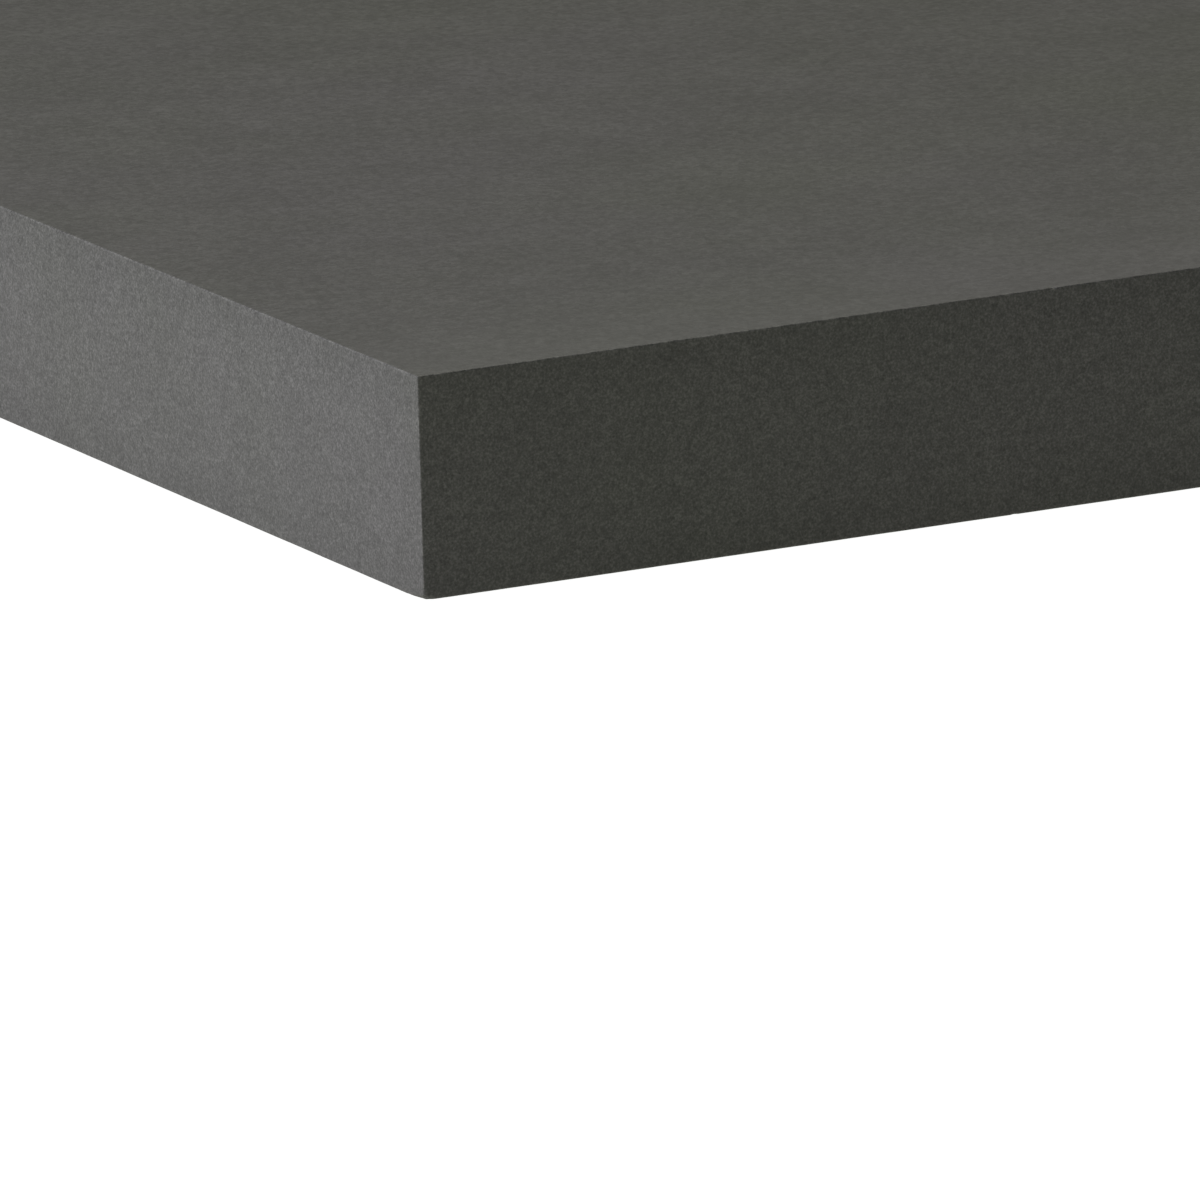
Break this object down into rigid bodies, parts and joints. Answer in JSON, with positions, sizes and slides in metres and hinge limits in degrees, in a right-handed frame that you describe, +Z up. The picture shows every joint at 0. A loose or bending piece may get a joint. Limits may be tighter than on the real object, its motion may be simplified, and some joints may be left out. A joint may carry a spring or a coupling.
{
  "type": "granite slab",
  "caption": "Square slab of honed dark fine-grained granite for tooling and stamping leather on, with eased edges, standing on self-adhesive rubber feet.",
  "frame": {"origin": "on the bench that the feet stand on, under the middle of the slab", "axes": "+Z up, out of the work face; X and Y along the sides of the square, with -Y the front and -X the left"},
  "size_m": [0.305, 0.305, 0.0348],
  "materials": {
    "granite": "honed",
    "rubber": "matte",
    "foam_tape": "matte"
  },
  "bodies": {
    "root": {"granite_slab": "granite", "foot_bumper_front_left": "rubber", "foot_bumper_front_right": "rubber", "foot_bumper_back_left": "rubber", "foot_bumper_back_right": "rubber", "adhesive_disc_front_left": "foam_tape", "adhesive_disc_front_right": "foam_tape", "adhesive_disc_back_left": "foam_tape", "adhesive_disc_back_right": "foam_tape"}
  },
  "joints": []
}
